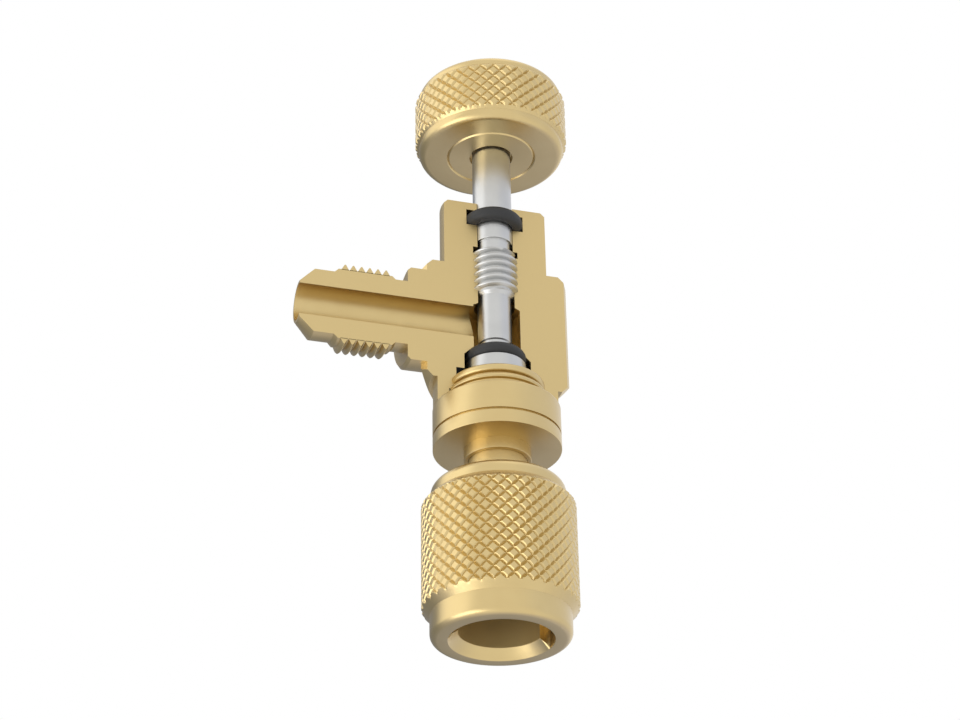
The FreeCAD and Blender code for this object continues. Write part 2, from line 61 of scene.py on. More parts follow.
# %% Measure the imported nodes
MM = 0.001
SECTION_Y = -0.93  # the cut plane, in front of the stem's axis


def node_span(node):
    """Lowest height, highest height and half the width of a node, in millimetres."""
    low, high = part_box(node)
    return low.z / MM, high.z / MM, (high.x - low.x) / 2 / MM


KNOB_BASE, KNOB_TOP, KNOB_BAND = node_span("knob")
COUPLER_BASE, COUPLER_TOP, COUPLER_BAND = node_span("coupler_nut")
STEM_BASE, STEM_TOP, _ = node_span("stem")
BODY_BASE, _, _ = node_span("valve_body")
PORT_AXIS = BODY_BASE + 11.35
THREAD_BASE, THREAD_TOP = BODY_BASE + 15.13, BODY_BASE + 21.15
print("knob", KNOB_BASE, KNOB_TOP, KNOB_BAND, "port axis", PORT_AXIS)

# %% [markdown]
# ## From arrays to a mesh
#
# Every surface here is a grid of points: one direction runs along a profile, the other round an
# axis. The grid is computed as whole arrays, and this helper joins neighbouring points into
# faces. Rows or columns can wrap, which closes a turned piece into one watertight skin.


# %% Mesh helpers
def grid_faces(rows, columns, wrap_rows, wrap_columns):
    """Corner numbers of each cell of a grid of points, counted along the rows."""
    row = np.arange(rows if wrap_rows else rows - 1)[:, None]
    column = np.arange(columns if wrap_columns else columns - 1)[None, :]
    row_next, column_next = (row + 1) % rows, (column + 1) % columns
    corners = [
        row * columns + column,
        row * columns + column_next,
        row_next * columns + column_next,
        row_next * columns + column,
    ]
    return np.stack([np.broadcast_to(c, corners[0].shape) for c in corners], axis=-1)


def make_piece(name, points, faces, body, replaced=(), sharp=30.0):
    """A mesh from points in millimetres and faces, riding on a body."""
    mesh = bpy.data.meshes.new(name)
    mesh.from_pydata((np.asarray(points).reshape(-1, 3) * MM).tolist(), [], faces)
    mesh.update()
    mesh.polygons.foreach_set("use_smooth", np.ones(len(mesh.polygons), bool))
    mesh.set_sharp_from_angle(angle=math.radians(sharp))
    piece = bpy.data.objects.new(name, mesh)
    bpy.context.scene.collection.objects.link(piece)
    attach(piece, body)
    if replaced:
        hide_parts(*replaced)
    size = [round(length / MM, 2) for length in piece.dimensions]
    print(name, "faces", len(mesh.polygons), "size mm", size)
    return piece


# %% [markdown]
# ## Broken edges
#
# No edge that comes off a lathe is perfectly sharp: it is broken with a small round, and that
# round is what catches the light. A profile is therefore written as corners, each with its own
# small radius, and every corner is replaced by a short arc that touches both of its sides.


# %% Profiles with rounded corners
def rounded_profile(corners, steps=4):
    """Corners as (radius, height, round). Each becomes a circular arc that touches both its sides,
    at round / tan(half the angle between them) from the corner. Along the arc, its start, the
    corner and its end are blended with the weights (1 - t)^2, 2 t (1 - t) sin(half) and t^2."""
    corner = np.array(corners, float)
    here, rounds = corner[:, :2], corner[:, 2]
    before, after = np.roll(here, 1, axis=0) - here, np.roll(here, -1, axis=0) - here
    before /= np.linalg.norm(before, axis=1, keepdims=True)
    after /= np.linalg.norm(after, axis=1, keepdims=True)
    half = np.arccos(np.clip((before * after).sum(axis=1), -1, 1)) / 2
    reach = (rounds / np.tan(half))[:, None]
    share = np.linspace(0, 1, steps + 1)[None, :, None]
    start, end = (here + before * reach)[:, None], (here + after * reach)[:, None]
    middle = here[:, None]
    arc = start * (1 - share) ** 2 + end * share**2
    weight = 2 * share * (1 - share) * np.sin(half)[:, None, None]
    arc = (arc + middle * weight) / ((1 - share) ** 2 + share**2 + weight)
    keep = [arc[i] if rounds[i] > 0 else here[i : i + 1] for i in range(len(corner))]
    return np.concatenate(keep)


# %% [markdown]
# ## Diamond knurling
#
# A knurling wheel presses two sets of V grooves into the band, one leaning to the left and one to
# the right, and leaves flat-topped diamonds between them. The grid's steps are as long round the
# band as along it, so each groove runs exactly along the diagonals of the cells. Cells that a
# fold line crosses are split along that line, which keeps the grooves straight and the diamonds
# crisp.

# %% Knurled surfaces
STEPS = 10  # steps of the grid from one diamond to the next
HALF_GROOVE = 2  # steps from the bottom of a groove to its edge
KNURL_DEPTH = 0.24


def knurl_depth(column, row):
    """How deep the crossed grooves are at a point of the grid, as a share of the full depth."""
    lean_left, lean_right = (column + row) % STEPS, (column - row) % STEPS
    left = np.minimum(lean_left, STEPS - lean_left) / HALF_GROOVE
    right = np.minimum(lean_right, STEPS - lean_right) / HALF_GROOVE
    return np.clip(1 - np.minimum(left, right), 0, 1)


def split_cells(cells, row_of, on_band):
    """Triangles for the band's cells, split along the fold lines, and whole cells elsewhere."""
    rows, columns = cells.shape[:2]
    column = np.arange(columns)[None, :]
    row = row_of[:rows, None]
    rising = (column - row) % 2 == 0
    band = np.broadcast_to(on_band[:rows, None], (rows, columns))
    a, b, c, d = (cells[..., k] for k in range(4))
    rising_pairs = np.stack([np.stack([a, b, c], -1), np.stack([a, c, d], -1)], -2)
    falling_pairs = np.stack([np.stack([a, b, d], -1), np.stack([b, c, d], -1)], -2)
    triangles = np.where(rising[..., None, None], rising_pairs, falling_pairs)
    return triangles[band].reshape(-1, 3).tolist() + cells[~band].tolist()


def knurled_lathe(name, before, band, after, diamonds, body, replaced, cutaway=None):
    """A closed turned piece. Its profile is before, the knurled band, and after. The band's radius
    is the smaller of its own outline and the knurled cylinder's, so grooves run out on its
    chamfers. A cutaway gives a second profile for before, and its share at each angle."""
    columns = diamonds * STEPS
    outline = np.array(band)
    radius = outline[:, 0].max()
    step = 2 * math.pi * radius / columns
    rows = int(round((outline[-1, 1] - outline[0, 1]) / step))
    height = np.linspace(outline[0, 1], outline[-1, 1], rows + 1)
    plain = np.interp(height, outline[:, 1], outline[:, 0])
    number = np.arange(rows + 1)
    column = np.arange(columns)
    cut = radius - KNURL_DEPTH * knurl_depth(column[None, :], number[:, None])
    band_radius = np.minimum(cut, plain[:, None])
    angle = column * 2 * math.pi / columns
    low, high = (np.repeat(part[:, None], columns, axis=1) for part in (before, after))
    if cutaway:
        share = cutaway[1](angle)[None, :, None]
        low = low * (1 - share) + cutaway[0][:, None] * share
    middle = np.stack([band_radius, np.repeat(height[:, None], columns, axis=1)], axis=-1)
    section = np.concatenate([low, middle, high])
    points = np.stack(
        [section[..., 0] * np.cos(angle), section[..., 0] * np.sin(angle), section[..., 1]], axis=-1
    )
    cells = grid_faces(len(section), columns, True, True)
    row_of = np.arange(len(section)) - len(before)
    on_band = (row_of >= 0) & (row_of < rows)
    faces = split_cells(cells, row_of, on_band)
    return make_piece(name, points, faces, body, replaced)


# %% [markdown]
# ## The knob
#
# A turned brass knob: a knurled band between two plain rims with large rounds, a flat underside
# with one fine turned line, and a recess for the screw on top. The profile goes once round the
# solid's own section, from the socket for the stem, whose mouth is a little wider, out to the
# band and back over the top.

# %% Knob
KNOB_RIM, RIM_HEIGHT = 9.1, 1.25
SOCKET, SOCKET_MOUTH, SOCKET_DEPTH = 2.43, 2.7, 5.6
SCREW_HOLE, SCREW_RECESS, RECESS_DEPTH = 1.65, 3.2, 1.6
knob_corners_low = [
    (SOCKET, KNOB_BASE + 0.6, 0),
    (SOCKET_MOUTH, KNOB_BASE + 0.6, 0),
    (SOCKET_MOUTH, KNOB_BASE, 0.05),
    (5.25, KNOB_BASE, 0),
    (5.42, KNOB_BASE + 0.17, 0),
    (5.59, KNOB_BASE, 0),
    (KNOB_RIM, KNOB_BASE, 0.9),
    (KNOB_RIM, KNOB_BASE + RIM_HEIGHT, 0.06),
]
knob_corners_high = [
    (KNOB_RIM, KNOB_TOP - RIM_HEIGHT, 0.06),
    (KNOB_RIM, KNOB_TOP, 0.9),
    (SCREW_RECESS, KNOB_TOP, 0.1),
    (SCREW_RECESS, KNOB_TOP - RECESS_DEPTH, 0.05),
    (SCREW_HOLE, KNOB_TOP - RECESS_DEPTH, 0),
    (SCREW_HOLE, KNOB_BASE + SOCKET_DEPTH, 0),
    (SOCKET, KNOB_BASE + SOCKET_DEPTH, 0),
]


def halves(low, high, steps=8):
    """The rounded profile of all corners, cut again into its part before and after the band."""
    whole = rounded_profile(low + high, steps)
    count = sum(steps + 1 if corner[2] > 0 else 1 for corner in low)
    return whole[:count], whole[count:]


knob_low, knob_high = halves(knob_corners_low, knob_corners_high)
knob_band = [
    (KNOB_RIM + 0.02, KNOB_BASE + 1.27),
    (KNOB_BAND, KNOB_BASE + 1.7),
    (KNOB_BAND, KNOB_TOP - 1.7),
    (KNOB_RIM + 0.02, KNOB_TOP - 1.27),
]
knob = knurled_lathe(
    "knob_knurled",
    knob_low,
    knob_band,
    knob_high,
    diamonds=38,
    body="stem",
    replaced=["knob"],
)

# %% [markdown]
# ## The swivel coupler
#
# The coupler is the same kind of turned piece, with a longer band. Below it is a plain nose with
# a rounded rim, and inside the mouth a 45 degree chamfer leads to the bore. The profile runs up
# through the inside too, because the camera looks up into the mouth. In front, the lowest part of
# the bore's wall is cut away, as far back as a plane just behind the axis. There the columns of
# the grid follow a second profile, whose wall stands at the mouth's own radius.

# %% Coupler
WINDOW_HEIGHT, WINDOW_BACK = COUPLER_BASE + 3.2, 0.9
BORE, MOUTH, RELIEF = 4.9, 6.05, 5.65
NOSE, SHOULDER, TAIL_HOLE = 8.08, 7.9, 3.52
coupler_nose = [
    (MOUTH, COUPLER_BASE, 0.05),
    (NOSE, COUPLER_BASE, 0.8),
    (NOSE, COUPLER_BASE + 2.9, 0.06),
]
coupler_corners_low = [
    (BORE, WINDOW_HEIGHT, 0),
    (BORE, WINDOW_HEIGHT - 0.1, 0),
    (BORE, COUPLER_BASE + MOUTH - BORE, 0),
] + coupler_nose
coupler_corners_cut = [
    (BORE, WINDOW_HEIGHT, 0),
    (MOUTH, WINDOW_HEIGHT, 0),
    (MOUTH, COUPLER_BASE + 0.3, 0),
] + coupler_nose
coupler_corners_high = [
    (SHOULDER, COUPLER_TOP - 1.8, 0.06),
    (SHOULDER, COUPLER_TOP, 1.2),
    (TAIL_HOLE, COUPLER_TOP, 0.1),
    (TAIL_HOLE, COUPLER_BASE + 12.8, 0),
    (BORE, COUPLER_BASE + 12.8, 0),
    (BORE, COUPLER_BASE + 9.6, 0),
    (RELIEF, COUPLER_BASE + 9.6, 0),
    (RELIEF, COUPLER_BASE + 8.6, 0),
    (BORE, COUPLER_BASE + 8.6, 0),
]


def window_share(angle):
    """How far the wall is moved out. The cut's back is the plane y = back, which a column meets at
    the radius back / sin(angle), or nowhere in front, where it counts as endless. The wall lies
    between the bore's radius and the mouth's."""
    reach = WINDOW_BACK / np.maximum(np.sin(angle), 1e-6)
    return (np.clip(reach, BORE, MOUTH) - BORE) / (MOUTH - BORE)


coupler_low, coupler_high = halves(coupler_corners_low, coupler_corners_high)
coupler_cut, _ = halves(coupler_corners_cut, coupler_corners_high)
coupler_band = [
    (NOSE + 0.02, COUPLER_BASE + 2.92),
    (COUPLER_BAND, COUPLER_BASE + 3.82),
    (COUPLER_BAND, COUPLER_TOP - 2.9),
    (SHOULDER + 0.02, COUPLER_TOP - 1.82),
]
coupler = knurled_lathe(
    "coupler_knurled",
    coupler_low,
    coupler_band,
    coupler_high,
    diamonds=37,
    body="coupler",
    replaced=["coupler_nut"],
    cutaway=(coupler_cut, window_share),
)

# %% [markdown]
# ## Plain turned pieces
#
# The stem, the rubber ring on its shank, the flange and the tail tube are plain turned pieces, so
# each is one rounded profile carried round the axis. Where it ends on a blind hole, the two open
# ends are closed with flat caps.


# %% A plain lathe
def lathe(name, corners, body, replaced, capped=False, steps=6, columns=144):
    """A profile turned round the Z axis: at each angle, x = r cos(angle) and y = r sin(angle)."""
    profile = rounded_profile(corners, steps)
    angle = np.arange(columns) * 2 * math.pi / columns
    radius = profile[:, :1]
    height = np.repeat(profile[:, 1:], columns, axis=1)
    points = np.stack([radius * np.cos(angle), radius * np.sin(angle), height], axis=-1)
    faces = grid_faces(len(profile), columns, not capped, True).reshape(-1, 4).tolist()
    if capped:
        end = len(profile) * columns
        faces += [list(range(columns))[::-1], list(range(end - columns, end))]
    return make_piece(name, points, faces, body, replaced)


# %% [markdown]
# ## The stem
#
# The stem is turned from one steel bar: the plunger at the bottom, a seat for its rubber ring,
# the slim rod, the threaded length, an undercut and the shank. One blind hole takes the depressor
# pin from below and one the knob's screw from above. Its profile runs from the first hole's end,
# down and out, up the outside and into the second hole.

# %% Stem
PLUNGER, PLUNGER_HEIGHT, PIN_HOLE = 3.65, 2.7, 1.03
RING_SEAT, ROD, UNDERCUT = 1.9, 2.05, 2.1
SHANK, SHANK_BASE, STEM_SCREW_HOLE = 2.4, THREAD_TOP + 1.85, 1.53
stem = lathe(
    "stem_turned",
    [
        (PIN_HOLE, STEM_BASE + 2.0, 0),
        (PIN_HOLE, STEM_BASE, 0),
        (PLUNGER, STEM_BASE, 0.15),
        (PLUNGER, STEM_BASE + PLUNGER_HEIGHT, 0.15),
        (RING_SEAT, STEM_BASE + PLUNGER_HEIGHT, 0.05),
        (RING_SEAT, STEM_BASE + 5.45, 0),
        (ROD, STEM_BASE + 5.6, 0),
        (ROD, THREAD_BASE, 0),
        (SHANK, THREAD_BASE + 0.35, 0),
        (SHANK, THREAD_TOP, 0),
        (UNDERCUT, THREAD_TOP + 0.3, 0),
        (UNDERCUT, SHANK_BASE, 0.06),
        (SHANK, SHANK_BASE, 0.13),
        (SHANK, STEM_TOP, 0.15),
        (STEM_SCREW_HOLE, STEM_TOP, 0),
        (STEM_SCREW_HOLE, STEM_TOP - 5.4, 0),
    ],
    body="stem",
    replaced=["stem"],
    capped=True,
)

# %% [markdown]
# ## The rubber ring on the shank
#
# The ring lies squeezed in the body's groove, so its section is no circle: the inside, which the
# shank presses on, is flat, and the outside keeps two large rounds.

# %% Stem ring
RING_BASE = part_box("stem_o_ring")[0].z / MM
RING_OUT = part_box("stem_o_ring")[1].x / MM
RING_IN, RING_HEIGHT = 2.43, 1.64
stem_ring = lathe(
    "stem_ring",
    [
        (RING_IN, RING_BASE, 0.21),
        (RING_OUT, RING_BASE, 0.7),
        (RING_OUT, RING_BASE + RING_HEIGHT, 0.7),
        (RING_IN, RING_BASE + RING_HEIGHT, 0.21),
    ],
    body="housing",
    replaced=["stem_o_ring"],
)

# %% [markdown]
# ## The tail
#
# A brass flange with a boss is let into the end plug, with a groove for a rubber ring round its
# insert. The tail tube goes through it and ends in a bead, on which the coupler turns, and a
# nozzle. Both are rings, so their profiles close on themselves.

# %% Flange and tail tube
FLANGE_BASE, FLANGE_TOP, INSERT_TOP = BODY_BASE - 5.45, BODY_BASE - 3.85, BODY_BASE - 2.1
OUTSIDE = 7.6  # of the flange and the plug
BOSS, BOSS_BASE = 3.97, FLANGE_BASE - 1.45
INSERT, SEAL_GROOVE = 5.4, 4.7
TUBE, TUBE_BORE, TUBE_HOLE = 3.45, 1.9, 3.48
flange = lathe(
    "tail_flange_turned",
    [
        (TUBE_HOLE, BOSS_BASE, 0),
        (BOSS, BOSS_BASE, 0.08),
        (BOSS, FLANGE_BASE, 0),
        (OUTSIDE, FLANGE_BASE, 0.05),
        (OUTSIDE, FLANGE_TOP, 0.03),
        (INSERT, FLANGE_TOP, 0),
        (INSERT, FLANGE_TOP + 0.495, 0),
        (SEAL_GROOVE, FLANGE_TOP + 0.495, 0),
        (SEAL_GROOVE, FLANGE_TOP + 1.255, 0),
        (INSERT, FLANGE_TOP + 1.255, 0),
        (INSERT, INSERT_TOP, 0),
        (TUBE_HOLE, INSERT_TOP, 0),
    ],
    body="housing",
    replaced=["tail_flange"],
)
TUBE_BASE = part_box("tail_tube")[0].z / MM
TUBE_BEAD, BEAD_HEIGHT = 4.7, 1.4
NOZZLE, NOZZLE_HEIGHT = 2.45, 1.4
tube = lathe(
    "tail_tube_turned",
    [
        (TUBE_BORE, TUBE_BASE, 0),
        (NOZZLE, TUBE_BASE, 0.15),
        (NOZZLE, TUBE_BASE + NOZZLE_HEIGHT, 0),
        (TUBE_BEAD, TUBE_BASE + NOZZLE_HEIGHT, 0.1),
        (TUBE_BEAD, TUBE_BASE + NOZZLE_HEIGHT + BEAD_HEIGHT, 0.15),
        (TUBE, TUBE_BASE + NOZZLE_HEIGHT + BEAD_HEIGHT, 0),
        (TUBE, INSERT_TOP, 0),
        (TUBE_BORE, INSERT_TOP, 0),
    ],
    body="housing",
    replaced=["tail_tube"],
)

# %% [markdown]
# ## The end plug
#
# The plug's spigot carries a ring and a rounded bead. In front of the section they stand free,
# and behind it the body's bore fits close round the spigot, so the plug has one profile in front
# of the cut plane and a plainer one behind it. A point's angle depends on its radius, so that the
# column where the two profiles meet lies exactly in the cut plane.


# %% End plug
def split_lathe(name, front, back, body, replaced, columns=73):
    """Two profiles with the same number of points, one on each side of the plane y = cut. A circle
    of radius r leaves the front half at the angle arccos(cut / r) from straight ahead."""
    share = np.linspace(-1, 1, columns)
    rings = []
    for profile, middle, behind in ((front, -math.pi / 2, False), (back, math.pi / 2, True)):
        limit = np.arccos(-SECTION_Y / profile[:, :1])
        angle = middle + share * (math.pi - limit if behind else limit)
        height = np.repeat(profile[:, 1:], columns, axis=1)
        x, y = profile[:, :1] * np.cos(angle), profile[:, :1] * np.sin(angle)
        rings.append(np.stack([x, y, height], axis=-1))
    points = np.concatenate(rings, axis=1)
    faces = grid_faces(len(front), 2 * columns, True, True).reshape(-1, 4).tolist()
    return make_piece(name, points, faces, body, replaced)


SPIGOT, SPIGOT_TOP = 5.22, BODY_BASE + 3.5
RING, RING_GROOVE, BEAD = 6.05, 5.65, 5.8
INSERT_HOLE, REBATE, PLUG_BORE = 5.43, 7.3, 4.25
plug_corners = [
    (TUBE_BORE, BODY_BASE - 1.9, 0),
    (INSERT_HOLE, BODY_BASE - 1.9, 0),
    (INSERT_HOLE, FLANGE_TOP, 0),
    (REBATE, FLANGE_TOP, 0),
    (REBATE, FLANGE_TOP + 0.3, 0),
    (OUTSIDE, FLANGE_TOP + 0.3, 0.04),
    (OUTSIDE, BODY_BASE, 0.25),
    (RING_GROOVE, BODY_BASE, 0),
    (RING_GROOVE, BODY_BASE + 1.25, 0.1),
    (RING, BODY_BASE + 1.3, 0.2),
    (RING, BODY_BASE + 1.45, 0),
    (RING, BODY_BASE + 1.5, 0),
    (RING, BODY_BASE + 1.9, 0.33),
    (SPIGOT, BODY_BASE + 1.95, 0.1),
    (SPIGOT, BODY_BASE + 2.35, 0.1),
    (BEAD, BODY_BASE + 2.35, 0.4),
    (BEAD, BODY_BASE + 3.33, 0.4),
    (SPIGOT, BODY_BASE + 3.33, 0),
    (SPIGOT, SPIGOT_TOP, 0.05),
    (PLUG_BORE, SPIGOT_TOP, 0.05),
    (PLUG_BORE, BODY_BASE - 0.7, 0),
    (TUBE_BORE, BODY_BASE - 0.7, 0),
]
plug_front = rounded_profile(plug_corners, 6)
plug_back = plug_front.copy()
radius, height = plug_front.T
within_socket = (height > BODY_BASE - 0.01) & (height < BODY_BASE + 1.47)
above_socket = height > BODY_BASE + 1.47
plug_back[within_socket, 0] = np.maximum(radius[within_socket], RING)
plug_back[above_socket, 0] = np.minimum(radius[above_socket], SPIGOT)
plug = split_lathe("end_plug_turned", plug_front, plug_back, "housing", ["end_plug"])

# %% [markdown]
# ## The thread of the side port
#
# The port's outside thread is cut in half by the section, so each turn shows as a V-shaped tooth
# in the cut face and as a half ring behind it. A half ring is a small V profile carried round the
# port's axis, and the angle at which it ends depends on its radius, so that its ends lie in the
# cut plane.

# %% Port thread
FIRST_CREST, PITCH, TURNS = -13.78, 1.008, 6
CRESTS = FIRST_CREST - PITCH * np.arange(TURNS)
port_flank = [(0.1, 5.49), (0.44, 4.88), (0.46, 4.80)]
PORT_RING = np.array([(-x, r) for x, r in port_flank[::-1]] + [(0, 5.555)] + port_flank)


def half_rings(crests, profile, steps=48):
    """Rings round the port's axis, from cut face to cut face: y = r cos(angle), z = r sin(angle)
    above the axis, and the angle runs to arccos(cut / r) on both sides."""
    along, radius = profile[:, 0], profile[:, 1]
    limit = np.arccos(SECTION_Y / radius)
    angle = np.linspace(-1, 1, steps + 1)[:, None] * limit
    shape = (len(crests), steps + 1, len(profile))
    x = np.broadcast_to(crests[:, None, None] + along, shape)
    y = np.broadcast_to(radius * np.cos(angle), shape)
    z = np.broadcast_to(PORT_AXIS + radius * np.sin(angle), shape)
    return np.stack([x, y, z], axis=-1)


ring_points = half_rings(CRESTS, PORT_RING)
per_ring = ring_points.shape[1] * ring_points.shape[2]
ring_cells = grid_faces(ring_points.shape[1], len(PORT_RING), False, True).reshape(-1, 4)
ring_faces = []
for first in range(0, len(CRESTS) * per_ring, per_ring):
    ring_faces += (ring_cells + first).tolist()
    start = list(range(first, first + len(PORT_RING)))
    end = list(range(first + per_ring - len(PORT_RING), first + per_ring))
    ring_faces += [start[::-1], end]
port_thread = make_piece("port_thread", ring_points, ring_faces, "housing", sharp=50)

# %% [markdown]
# ## The thread of the stem
#
# The stem is screwed into the body with an M6 thread of 1 mm pitch. It is right-handed: seen from
# above, it climbs as it turns anticlockwise. One rounded V profile is carried along a helix. Each
# end of a thread is chamfered before it is cut, so its turns are trimmed by a cone there: full
# height runs right up to the cone, and the last turn leaves a crescent on it.

# %% Stem thread
CREST, CORE, CONE = 2.96, 1.95, 1.9
half_flank = [(0.08, 2.945), (0.16, 2.86), (0.34, 2.5), (0.42, 2.38), (0.49, 2.33), (0.49, CORE)]
STEM_PROFILE = np.array([(-x, r) for x, r in half_flank[::-1]] + [(0, CREST)] + half_flank)


def helix_thread(start, first, last, low, high, profile, pitch=1.0, steps=72):
    """A profile carried up a helix: the angle grows by a full turn for each pitch of height, and
    turn 0 is at the start height. Below low and above high, a cone that narrows by CONE for each
    mm of height trims it down to the core."""
    turn = np.arange(round(first * steps), round(last * steps) + 1)[:, None] / steps
    height = start + turn * pitch + profile[:, 0]
    beyond = np.maximum(np.maximum(height - high, low - height), 0)
    radius = np.minimum(profile[:, 1], np.maximum(CREST - CONE * beyond, CORE))
    angle = turn * 2 * math.pi
    return np.stack([radius * np.cos(angle), radius * np.sin(angle), height], axis=-1)


helix_points = helix_thread(
    start=THREAD_BASE + 0.4,
    first=-0.7,
    last=6.7,
    low=THREAD_BASE + 0.75,
    high=THREAD_TOP + 0.02,
    profile=STEM_PROFILE,
)
helix_cells = grid_faces(len(helix_points), len(STEM_PROFILE), False, True)
helix_faces = helix_cells[:, :, ::-1].reshape(-1, 4).tolist()
last = len(helix_points) * len(STEM_PROFILE)
helix_faces.append(list(range(len(STEM_PROFILE))))
helix_faces.append(list(range(last - len(STEM_PROFILE), last))[::-1])
stem_thread = make_piece("stem_thread", helix_points, helix_faces, "stem", sharp=60)

# %% [markdown]
# ## Finishes
#
# A lathe leaves very fine lines round the axis, and handling leaves faint cloudy patches. Both
# are worked out from Object coordinates in a node group that every metal here shares, with its
# own values.


# %% Node groups
def group_socket(group, name, way, kind="NodeSocketFloat", value=None):
    """A named input or output of a node group, with its default value."""
    socket = group.interface.new_socket(name=name, in_out=way, socket_type=kind)
    if value is not None:
        socket.default_value = value


def add_node(tree, kind, inputs=(), **settings):
    """A node with its settings, and each input either linked to a socket or set to a value."""
    node = tree.nodes.new(kind)
    for key, value in settings.items():
        setattr(node, key, value)
    for key, value in dict(inputs).items():
        if isinstance(value, bpy.types.NodeSocket):
            tree.links.new(value, node.inputs[key])
        else:
            node.inputs[key].default_value = value
    return node


def math_node(tree, operation, *values):
    """The result of one operation on sockets or numbers."""
    return add_node(tree, "ShaderNodeMath", dict(enumerate(values)), operation=operation).outputs[0]


HEIGHT_SHARE = 0.731  # of the height, beside the whole distance to the axis


def make_turning_group():
    """Lines round the axis of a turned piece: noise along one number, which is the distance to
    the axis plus a share of the height, so that the lines run on faces and cylinders alike."""
    group = bpy.data.node_groups.new("turning_marks", "ShaderNodeTree")
    group_socket(group, "Vector", "INPUT", "NodeSocketVector")
    group_socket(group, "Lines per mm", "INPUT", value=9.0)
    group_socket(group, "Patch size", "INPUT", value=3.0)
    group_socket(group, "Lines", "OUTPUT")
    group_socket(group, "Patches", "OUTPUT")
    source = group.nodes.new("NodeGroupInput").outputs
    in_mm = {0: source["Vector"], "Scale": 1 / MM}
    place = add_node(group, "ShaderNodeVectorMath", in_mm, operation="SCALE").outputs[0]
    axes = add_node(group, "ShaderNodeSeparateXYZ", {0: place}).outputs
    squares = [math_node(group, "MULTIPLY", axes[k], axes[k]) for k in (0, 1)]
    radius = math_node(group, "SQRT", math_node(group, "ADD", *squares))
    along = math_node(group, "MULTIPLY_ADD", axes[2], HEIGHT_SHARE, radius)
    lines = add_node(
        group,
        "ShaderNodeTexNoise",
        {"W": along, "Scale": source["Lines per mm"], "Detail": 3.0, "Roughness": 0.6},
        noise_dimensions="1D",
    ).outputs[0]
    size = math_node(group, "DIVIDE", 1.0, source["Patch size"])
    patches = add_node(
        group,
        "ShaderNodeTexNoise",
        {"Vector": place, "Scale": size, "Detail": 2.0, "Roughness": 0.5},
        noise_dimensions="3D",
    ).outputs[0]
    target = group.nodes.new("NodeGroupOutput")
    group.links.new(lines, target.inputs["Lines"])
    group.links.new(patches, target.inputs["Patches"])
    return group


turning_marks = make_turning_group()
print("turning marks:", len(turning_marks.nodes), "nodes")

# %% [markdown]
# ## Brass and steel
#
# Each metal is one Principled surface with its own two tones and roughness. The two tones lie
# close together, because turned metal looks even from a distance and only the patches vary it a
# little. The face of the section and the drilled bore are told apart by where they lie, with no
# seam to paint.


# %% Colours and material nodes
def linear(red, green, blue):
    """A colour given as it looks on screen, from 0 to 255, as the shader wants it."""
    share = np.array([red, green, blue]) / 255
    value = np.where(share <= 0.04045, share / 12.92, ((share + 0.055) / 1.055) ** 2.4)
    return (*value.tolist(), 1.0)


def new_material(name):
    """A material with one Principled surface, its node tree and that surface."""
    material = bpy.data.materials.new(name)
    material.use_nodes = True
    tree = material.node_tree
    tree.nodes.clear()
    shader = tree.nodes.new("ShaderNodeBsdfPrincipled")
    output = tree.nodes.new("ShaderNodeOutputMaterial")
    tree.links.new(shader.outputs[0], output.inputs["Surface"])
    return material, tree, shader


def mixed_colour(tree, factor, first, second):
    """The first colour where the factor is 0 and the second where it is 1."""
    node = add_node(tree, "ShaderNodeMix", {0: factor, 6: first, 7: second}, data_type="RGBA")
    return node.outputs[2]


def map_range(tree, value, start, end, low, high, **settings):
    """The span from start to end moved to the span from low to high, and held at its ends."""
    inputs = {0: value, 1: start, 2: end, 3: low, 4: high}
    return add_node(tree, "ShaderNodeMapRange", inputs, **settings).outputs[0]


# %% Metal materials
NOISE_SPAN = (0.25, 0.75)  # where nearly all of a noise's values lie
LINE_ROUGH = 0.03  # how much the lines change the roughness either way
DRILLED_ROUGH = 0.57
RELIEF_HEIGHT = 2e-5  # of the lines and the grain, in metres
COAT_WEIGHT, COAT_ROUGH = 0.3, 0.3


